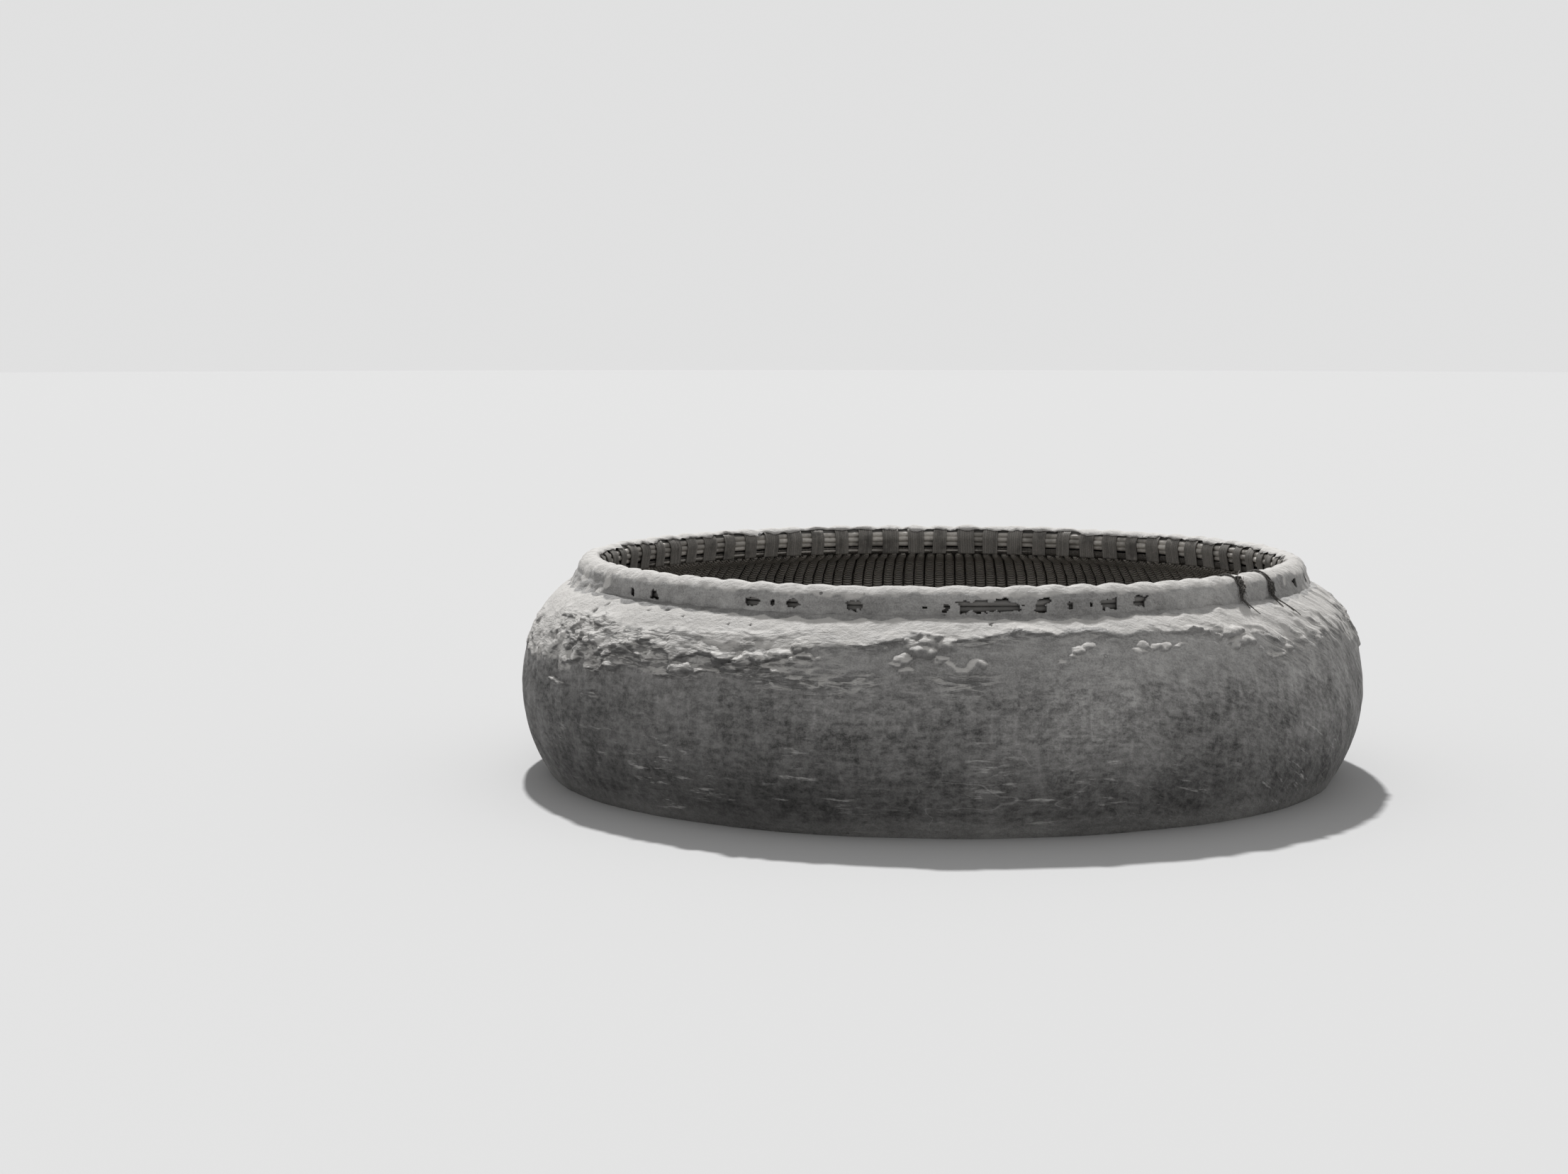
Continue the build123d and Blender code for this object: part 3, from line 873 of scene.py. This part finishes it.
def make_coat_rim():
    """The coat over the rim: scalloped over the lashings, dripping at its lap, flaked open outside."""
    turns = near_and_far_turns(800, 350)
    degrees = np.degrees(turns)
    ring = turned(RIM_MIDDLE, turns)
    beat = np.abs(np.cos(0.5 * LASHING_COUNT * turns + 0.22 * noise(ring, 0.4, 30)))
    fill = sum(
        size * (1 - step(np.abs(degrees_from(degrees, middle)), 0.5 * half, half))
        for middle, half, size in NECK_FILLS
    )
    drips = 13 * noise(ring, 0.10, 31) + 8 * noise(ring, 0.036, 32) + 5 * noise(ring, 0.017, 33)
    share = np.linspace(0, 1, BUNDLE_ROWS)[:, None]
    angles = share * np.clip(LAP_ANGLE + 4 + 8 * beat + drips, 104, 156)
    centre = turned(rim_point(angles, RIM_COAT_RADIUS), turns)
    lumps = 0.0022 * noise(centre, 0.11, 36) + 0.0014 * layers(centre, 0.032, 37)
    scallop = SCALLOP * (1 + 0.35 * noise(ring, 0.5, 42)) * (beat - 0.62)
    scallop = scallop * (0.50 + 0.50 * step(angles, 20, 70))
    back_radius = BUNDLE_RADIUS + 0.0006 + 0.0062 * step(angles, 117, 123)
    thickness = RIM_COAT_RADIUS + scallop + lumps - back_radius
    upper = rim_point(angles, back_radius + thickness * (1 - 0.7 * step(share, 0.93, 1.0)))
    upper_back = rim_point(angles, back_radius)
    lower, lower_back = neck_lines(turns, ring, beat, fill, upper[0], upper_back[0])
    outer = turned(np.concatenate([lower, upper]), turns)
    inner = turned(np.concatenate([lower_back, upper_back]), turns)

    ragged = noise(outer, 0.026, 38) + 0.7 * noise(outer, 0.011, 39)
    depth = window_depth(degrees, outer[..., 2], ragged)
    depth[:3] = -1
    beyond = np.roll(depth, -1, axis=1)
    faces = shell_faces((depth[:-1] + depth[1:] + beyond[:-1] + beyond[1:]) / 4 > 0)

    foot = np.zeros((FOOT_ROWS, len(turns)))
    slope = np.concatenate([foot, angles])
    worn = 9 * noise(outer, 0.14, 40) + 8 * noise(outer, (0.035, 0.035, 0.018), 45)
    dust = step(slope + worn + 4 * (beat - 0.6), 14, 46)
    filled = step(fill * (0.35 + 0.9 * noise(outer, 0.05, 46)), 0.1, 0.7)
    # Painted highlight round each window's lip and over the rim's lumps, and painted shade in its dips
    lip = np.clip(1 - np.abs(depth + 0.25) * 5, 0, 1)
    lumps = 60 * np.concatenate([foot, lumps]) * (slope > 30)
    marks = {
        "dust": np.maximum(dust, filled),
        "relief": np.clip(0.22 * lip + 0.6 * lumps, -1, 1),
        "low": 0 * dust,
        "tone": RIM_TONE + 0.030 * layers(outer, 0.2, 44),
        "mottled": 0 * dust + 0.35,
        "lift": 0 * dust + slant_lift(degrees),
    }
    shell = np.concatenate([outer, inner])
    # The back gets painted shade, which darkens the windows' walls
    marks = with_back(marks, len(inner), relief=-0.5, tone=BACK_TONE)
    return make_object("coat_rim", shell, faces, "bitumen", bitumen, **marks)


def make_coat_bottom():
    """The coat under the flat bottom, a disc with shallow hollows."""
    turns = all_round(240)
    edge = FLOOR_RADIUS - FLOOR_GAP
    radii = np.linspace(0.012, edge, 36)
    under = turned(np.stack([radii, 0 * radii], -1)[:, None], turns)
    fading = step(radii, FLOOR_RADIUS, FLOOR_RADIUS - 0.06)[:, None]
    under[..., 2] -= 0.0014 * (layers(under, 0.16, 51) - 1.6) * fading
    top_radii = radii[::-7]
    top = turned(np.stack([top_radii, 0 * top_radii + COAT_THICKNESS], -1)[:, None], turns)
    shell = np.concatenate([under, top])
    return make_object(
        "coat_bottom", shell, grid_faces(*shell.shape[:2]), "bitumen", bitumen,
        dust=0.25 + 0.2 * layers(shell, 0.3, 52), relief=0, low=0, tone=0.16, mottled=1, lift=0,
    )


# The basketry's coils: their pitch, how deep the grooves between them are, and the wall's radius
COIL = 0.022
GROOVE = 0.0055
WALL_RADIUS = 1.7


def make_basket_wall():
    """The coiled wall: half-round coils inside, one above the other, and a plain back."""
    turns = all_round(208)
    face, along = resample(inner_line(INSIDE_DEPTH), COIL / 3)
    tangents = unit(np.gradient(face, axis=0))
    outward = np.stack([-tangents[:, 1], tangents[:, 0]], -1)
    groove = GROOVE * (1 - np.abs(np.sin(pi * along / COIL)))
    back = hull_point(SEAM_ANGLES[::-1], SHELL_DEPTH)
    section = np.concatenate([face + outward * groove[:, None], back, [WALL_TIP]])
    shell = turned(section[:, None], turns)
    faces = grid_faces(*shell.shape[:2])
    along = np.abs(turns) * WALL_RADIUS
    return make_object("basket_wall_coils", shell, faces, "basketry", basketry, along=along)


def make_basket_floor():
    """The coiled floor: rings of rush round the middle, from a small knot outward."""
    turns = all_round(160)
    knot, coarse_from = 0.004, 0.62
    fine = np.arange(knot, coarse_from, COIL / 4)
    radii = np.concatenate([fine, np.arange(coarse_from, FLOOR_RADIUS - FLOOR_GAP, COIL / 2)])
    heights = INSIDE_DEPTH - GROOVE * (1 - np.abs(np.sin(pi * radii / COIL)))
    lower = np.stack([np.linspace(radii[-1], knot, 5), np.full(5, SHELL_DEPTH)], -1)
    section = np.concatenate([np.stack([radii, heights], -1), lower])
    shell = turned(section[:, None], turns)
    upper = shell[: len(radii)]
    upper[..., 2] += 0.0012 * np.minimum(noise(upper, 0.2, 61), 0)
    faces = grid_faces(*shell.shape[:2])[:, ::-1]
    along = np.abs(turns) * section[:, :1]
    return make_object("basket_floor_coils", shell, faces, "basketry", basketry, along=along)


# Ribs: their section across, and how high it stands there, as shares of half the width and the depth
RIB_COUNT = 208
RIB_WIDTH, RIB_DEPTH = 0.040, 0.020
RIB_ACROSS = np.array([-1.0, -0.84, -0.36, 0.36, 0.84, 1.0])
RIB_PROUD = np.array([0.0, 0.60, 0.98, 0.98, 0.60, 0.0])
RIB_SPACING = 0.026
HEAD_SETBACK = 0.020
WALL_FOOT = 0.12
# The rib sets: piece, node, last slope on the wall, radius of their ends on the floor, how many
# slots from one rib to the next, first slot, seed
RIB_SETS = [
    ("short_ribs", "ribs_short", -56, None, 2, 0, 41),
    ("middle_ribs", "ribs_middle", -90, 1.050, 4, 1, 44),
    ("long_ribs", "ribs_long", -90, 0.560, 4, 3, 47),
]


def make_ribs(name, last_slope, end_radius, stride, first, seed):
    """A set of split withies: rounded sections that wander a little, with worn ends."""
    depth = INSIDE_DEPTH + RIB_GAP
    line = inner_line(depth, last_slope, HEAD_SETBACK)
    if end_radius:
        line = np.concatenate([line, [[end_radius, depth]]])
    path, along = resample(line, RIB_SPACING)
    tangents = unit(np.gradient(path, axis=0))
    inward = np.stack([tangents[:, 1], -tangents[:, 0]], -1)
    turns = np.arange(first, RIB_COUNT + first, stride) * TURN / RIB_COUNT
    marks = np.stack(np.broadcast_arrays(turns[:, None] * 9, along * 4, float(seed)), -1)
    drift = 0.0014 * noise(marks, (1, 1, 1), seed)
    room = np.minimum(0.0475, TURN * path[:, 0] / RIB_COUNT - 0.0025) / RIB_WIDTH
    room = np.where(path[:, 1] > WALL_FOOT, room, 1.0)
    wide = room * (1 - 0.05 * (0.5 + 0.5 * noise(marks, (0.7, 0.7, 1), seed + 1)))
    tall = 1 - 0.14 * (0.5 + 0.5 * noise(marks, (0.5, 0.9, 1), seed + 2))
    ends = np.minimum(step(along, -0.012, 0.045), step(along[-1] - along, -0.012, 0.05))
    wide = wide * (0.45 + 0.55 * ends)
    tall = tall * (0.25 + 0.75 * ends)
    side = drift[..., None] + RIB_ACROSS * (RIB_WIDTH / 2) * wide[..., None]
    rise = RIB_PROUD * RIB_DEPTH * tall[..., None]
    flat = path[:, None] + inward[:, None] * rise[..., None]
    turns = turns[:, None, None]
    points = turned(flat, turns, side)
    faces = copied(tube_faces(*side.shape[1:]), len(turns), side[0].size)
    lengths = along[:, None] + turns * 0.37
    return make_object(name, points, faces, "withies", rib_withy, along=lengths)


# The bundle's withies: slopes of those outside, which are tarred, and of those inside
OUTER_WITHIES = [4, 52, 100, 318]
INNER_WITHIES = [146, 184, 224]
WITHY_RING, WITHY_RADIUS, WITHY_SIDES = 0.0338, 0.0128, 8


def make_rim_withies():
    """The rim's bundle: long withies side by side, each with its own bends and shade."""
    turns = all_round(300)
    outer = [*rim_point(OUTER_WITHIES, WITHY_RING), rim_point(60, 0.004)]
    inner = [*rim_point(INNER_WITHIES, WITHY_RING), rim_point(270, 0.022), WALL_TIP + [0.0125, -0.0125]]
    circle = direction(np.linspace(0, 360, WITHY_SIDES, endpoint=False))[:, None]
    points, shades = [], []
    for number, middle in enumerate(outer + inner):
        marks = turned(np.array([1.46, 3.1 * number]), turns)
        wander = np.stack([noise(marks, 0.35, 71), noise(marks, 0.35, 72)], -1) * 0.0012
        girth = WITHY_RADIUS * (1 - 0.06 * (0.5 + 0.5 * noise(marks, 0.2, 73)))
        points.append(turned(middle + wander + circle * girth[:, None], turns))
        shades.append(0.55 + 0.35 * noise(marks, 0.55, 74))
    points = np.array(points)
    faces = copied(grid_faces(*points.shape[1:3]), len(points), points[0, ..., 0].size)
    tarred = np.arange(len(points)) < len(outer)
    return make_object(
        "rim_withies", points, faces, "withies", withy,
        shade=np.clip(shades, 0, 1)[:, None], tarred=tarred[:, None, None],
    )


# Lashings: flat bands of strands, from over the bundle down past the wall's edge
LASHING_WIDTH, LASHING_STRANDS = 0.078, 7
LASHING_GAP, LASHING_THICKNESS = 0.0009, 0.0045
LASHING_SPACING = 0.0072


def lashing_lines():
    """A lashing's back line, with even chords, its face line, and how far along each point lies."""
    foot = WALL_TIP - [LASHING_GAP, 0.029]
    bend = np.linspace(124, 180, 9)
    back = BUNDLE_RADIUS + LASHING_GAP
    back_line = np.concatenate([rim_point(bend, back), [foot]])
    face = back + LASHING_THICKNESS
    face_line = np.concatenate([rim_point(bend, face), [foot - [LASHING_THICKNESS, 0]]])
    back_line, along = resample(back_line, LASHING_SPACING)
    back_line, _ = resample(back_line, along[-1] / (len(along) - 1))
    face_line, _ = resample(face_line, LASHING_SPACING * 1.03)
    return back_line, face_line, along


def make_lashings():
    """Flat palm bands over the bundle's inner side, each of parallel strands, some slack or worn."""
    back_line, face_line, along = lashing_lines()
    outward = unit(face_line - back_line)[:, None]
    across = np.linspace(-1, 1, LASHING_STRANDS * 4 + 1)
    strand_place = (across + 1) / 2 * LASHING_STRANDS
    strand = np.abs(np.sin(pi * strand_place))
    random = np.random.default_rng(81)
    points, shades = [], []
    for number in range(LASHING_COUNT):
        turn = number * TURN / LASHING_COUNT
        wide = LASHING_WIDTH / 2 * (0.78 + 0.24 * random.random())
        lean = 0.014 * (random.random() - 0.5)
        tones = 0.5 + 0.32 * random.standard_normal(LASHING_STRANDS + 1)
        shades.append(tones[strand_place.astype(int)])
        marks = np.stack(np.broadcast_arrays(across * 3, along[:, None] * 25, number * 7.3), -1)
        crown = 0.0016 * (strand**0.6 - 1) + 0.0007 * noise(marks, 1.0, 82)
        side = across * wide + lean * along[:, None] / along[-1] + 0.0006 * noise(marks, 0.6, 83)
        face = face_line[:, None] + outward * np.minimum(crown, 0.0006)[..., None]
        back = np.broadcast_to(back_line[:, None], face.shape)
        points.append([turned(face, turn, side), turned(back, turn, side)])
    points = np.array(points)
    cells = np.zeros((len(along) - 1, len(across)), bool)
    cells[:, -1] = True
    faces = copied(shell_faces(cells), LASHING_COUNT, points[0, ..., 0].size)
    shades = np.clip(shades, 0, 1)[:, None, None]
    return make_object("lashings", points, faces, "palm_fibre", palm, shade=shades, strand=strand)


# Two rope ties over the rim, each with its turn, the offsets of each pass at its two ends, the
# knot's loops, their reach, and half its height and its middle in degrees of the rim's slope, and
# the offset and the lowest slope of each hanging end
TIES = [
    {
        "turn": radians(-44.1),
        "passes": [(-0.010, -0.006), (-0.022, 0.003)],
        "knot": (15, 0.0125, 26, 22),
        "ends": [(0.012, 52), (-0.010, 58)],
    },
    {
        "turn": radians(-35.7),
        "passes": [(-0.022, 0.018), (0.004, -0.018)],
        "knot": (8, 0.0100, 14, 6),
        "ends": [(0.040, 46), (-0.024, 55), (0.020, 50)],
    },
]
FRAY_COUNT = 46
ROPE_RADIUS = 0.0034
PASS_POINTS = 26
UP = np.array([0, 0, 1])


def over_rim(slopes, turn, offsets, proud=ROPE_RADIUS):
    """Points over the coat on the rim, at slopes in degrees and offsets sideways."""
    return turned(rim_point(slopes, RIM_COAT_RADIUS + proud), turn, offsets)


def knot_point(tie, random):
    """A random point in a tie's knot."""
    _, _, spread, level = tie["knot"]
    slope = level + spread * random.uniform(-1, 1)
    return over_rim(slope, tie["turn"], 0.010 * random.uniform(-1, 1), 0.008)


def hanging_end(turn, side, low):
    """A rope's end that hangs from the rim over the shoulder, down to a slope."""
    over = rim_point(np.linspace(24, 0, 5), RIM_COAT_RADIUS + 0.0036)
    drop = over[-1:] + [[0.0035, -0.016], [0.0055, -0.030]]
    line = np.concatenate([over, drop, hull_point(np.linspace(61.5, low, 9), -0.0060)])
    share = np.linspace(0, 1, len(line))
    offsets = side * share**1.4 + 0.003 * np.sin(9 * share + side * 300)
    return turned(line, turn, offsets), 0.0032 - 0.0014 * share, 6, 0.0


def knot_loop(tie, number, out, sideways, random):
    """A small loop of a tie's knot."""
    t = np.linspace(0, TURN, 20)[:, None]
    middle = knot_point(tie, random)
    tilt = random.uniform(0, pi)
    axis = UP * np.cos(tilt) + sideways * np.sin(tilt)
    across = np.cross(axis, out) + out * random.uniform(-0.5, 0.5)
    size = tie["knot"][1] * random.uniform(0.6, 1.15)
    path = middle + size * (np.cos(t) * axis + 0.6 * np.sin(t) * across)
    return path + out * 0.004 * np.sin(2 * t + number), random.uniform(0.0024, 0.0036), 6, 0.0


def fray(tie, rising, out, sideways, random):
    """A loose fibre of a tie's knot, which stands up and is bleached where it is rising."""
    t = np.linspace(0, 1, 7)[:, None]
    root = knot_point(tie, random)
    heading = out * random.uniform(0.1, 0.6) + sideways * random.uniform(-0.9, 0.9)
    heading = heading + UP * (random.uniform(0.6, 1.3) if rising else random.uniform(-1.1, 0.2))
    length = random.uniform(0.016, 0.046) * (1.1 if rising else 0.8)
    curl = sideways * 0.006 * random.uniform(-1, 1) * np.sin(4 * t)
    path = root + heading * length * t - UP * 0.012 * t**2 + curl
    return path, 0.0017 - 0.0009 * t[:, 0], 4, 0.8 if rising else 0.0


def tie_tubes(number, tie, random):
    """All the tubes of a tie, each with its path, girth, sides and how bleached it is."""
    turn = tie["turn"]
    out, sideways = turned(np.array([[1.0, 0.0], [0.0, 0.0]]), turn, np.array([0.0, 1.0]))
    slopes = np.linspace(122, -4, PASS_POINTS)
    bend = 0.0016 * np.sin(np.radians(slopes * 3 + 90 * number))
    for first, last in tie["passes"]:
        offsets = np.linspace(first, last, PASS_POINTS) + bend
        yield over_rim(slopes, turn, offsets), ROPE_RADIUS, 6, 0.0
    for loop in range(tie["knot"][0]):
        yield knot_loop(tie, loop, out, sideways, random)
    for side, low in tie["ends"]:
        yield hanging_end(turn, side, low)
    for strand in range(FRAY_COUNT):
        yield fray(tie, number == 0 and strand % 4 == 0, out, sideways, random)


def tube(path, girth, sides):
    """Points of a tube along a path, whose girth may change from point to point."""
    tangents = unit(np.gradient(path, axis=0))
    normal = np.cross(tangents[0], (0.3, 0.5, 0.8))
    angles = np.linspace(0, TURN, sides, endpoint=False)[:, None]
    rings = []
    for place, tangent, radius in zip(path, tangents, np.broadcast_to(girth, len(path))):
        normal = unit(normal - tangent * (normal @ tangent))
        side = np.cross(tangent, normal)
        rings.append(place + radius * (np.cos(angles) * normal + np.sin(angles) * side))
    return np.concatenate(rings)


def make_ties():
    """Two rope ties over the rim: a knotted clump with frayed ends, and one that crosses and hangs."""
    random = np.random.default_rng(91)
    points, faces, bleached = [], [], []
    count = 0
    for number, tie in enumerate(TIES):
        for path, girth, sides, pale in tie_tubes(number, tie, random):
            points.append(tube(path, girth, sides))
            faces.append(tube_faces(len(path), sides) + count)
            bleached.append(np.full(len(points[-1]), pale))
            count += len(points[-1])
    return make_object(
        "ties", np.concatenate(points), np.concatenate(faces), "rope", rope,
        bleached=np.concatenate(bleached),
    )


make_coat_hull()
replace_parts(make_coat_rim(), "bitumen_side")
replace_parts(make_coat_bottom(), "bitumen_bottom")
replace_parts(make_basket_wall(), "basket_wall")
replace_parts(make_basket_floor(), "basket_floor")
for name, node, *rib_set in RIB_SETS:
    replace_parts(make_ribs(name, *rib_set), node)
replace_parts(make_rim_withies(), "rim_bundle")
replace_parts(make_lashings(), "rim_lashings")
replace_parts(make_ties(), "rim_ties")


# The floor and the background are pale, and the light is soft and comes from above and behind
FLOOR_GREY, SEEN_GREY = 0.50, 0.75
SKY_STRENGTH = 0.52
SUN_STRENGTH, SUN_HEIGHT, SUN_TURN, SUN_WIDTH = 3.9, 54, 6, 3


def make_camera():
    """The camera, which shows the boat as the photograph does."""
    data = bpy.data.cameras.new("camera")
    data.sensor_width = SENSOR_WIDTH
    data.lens = SENSOR_WIDTH * FOCAL_PIXELS / IMAGE_WIDTH
    camera = new_object("camera", data)
    camera.location = CAMERA_PLACE
    camera.rotation_euler = (radians(90 - CAMERA_TILT), 0, 0)
    bpy.context.scene.camera = camera
    bpy.context.scene.view_settings.view_transform = "Standard"


def make_stage():
    """A pale floor at the waterline, open where the hull sits in it."""
    slopes = np.linspace(-80, 0, 161)
    outline = hull_point(slopes)
    opening = float(np.interp(WATERLINE, outline[:, 1], outline[:, 0])) - 0.020
    points = turned(np.array([[[opening, 0.0]], [[90.0, 0.0]]]), all_round(128)).reshape(-1, 3)
    faces = grid_faces(2, 128, False)[:, ::-1]
    mesh = bpy.data.meshes.new("floor")
    mesh.from_pydata(points.tolist(), [], faces.tolist())
    floor = new_object("floor", mesh)
    floor.location.z = WATERLINE
    material = bpy.data.materials.new("floor")
    material.use_nodes = True
    shader = material.node_tree.nodes["Principled BSDF"]
    shader.inputs["Base Color"].default_value = grey(FLOOR_GREY)
    shader.inputs["Roughness"].default_value = 0.9
    shader.inputs["Specular IOR Level"].default_value = 0.1
    mesh.materials.append(material)


def make_world():
    """An even sky that lights the boat, and a plain pale background that the camera sees."""
    world = bpy.data.worlds.new("world")
    bpy.context.scene.world = world
    world.use_nodes = True
    tree = world.node_tree
    tree.nodes.clear()
    output = tree.nodes.new("ShaderNodeOutputWorld")
    mix = tree.nodes.new("ShaderNodeMixShader")
    rays = tree.nodes.new("ShaderNodeLightPath")
    tree.links.new(rays.outputs["Is Camera Ray"], mix.inputs[0])
    for socket, tone, strength in ((1, 1.0, SKY_STRENGTH), (2, SEEN_GREY, 1.0)):
        background = tree.nodes.new("ShaderNodeBackground")
        background.inputs["Color"].default_value = grey(tone)
        background.inputs["Strength"].default_value = strength
        tree.links.new(background.outputs[0], mix.inputs[socket])
    tree.links.new(mix.outputs[0], output.inputs[0])


def make_sun():
    """A high, soft lamp from behind the boat, as the photograph's light falls."""
    data = bpy.data.lights.new("sun", "SUN")
    data.energy = SUN_STRENGTH
    data.angle = radians(SUN_WIDTH)
    sun = new_object("sun", data)
    sun.rotation_euler = (radians(90 - SUN_HEIGHT), 0, radians(180 + SUN_TURN))


make_camera()
make_stage()
make_world()
make_sun()
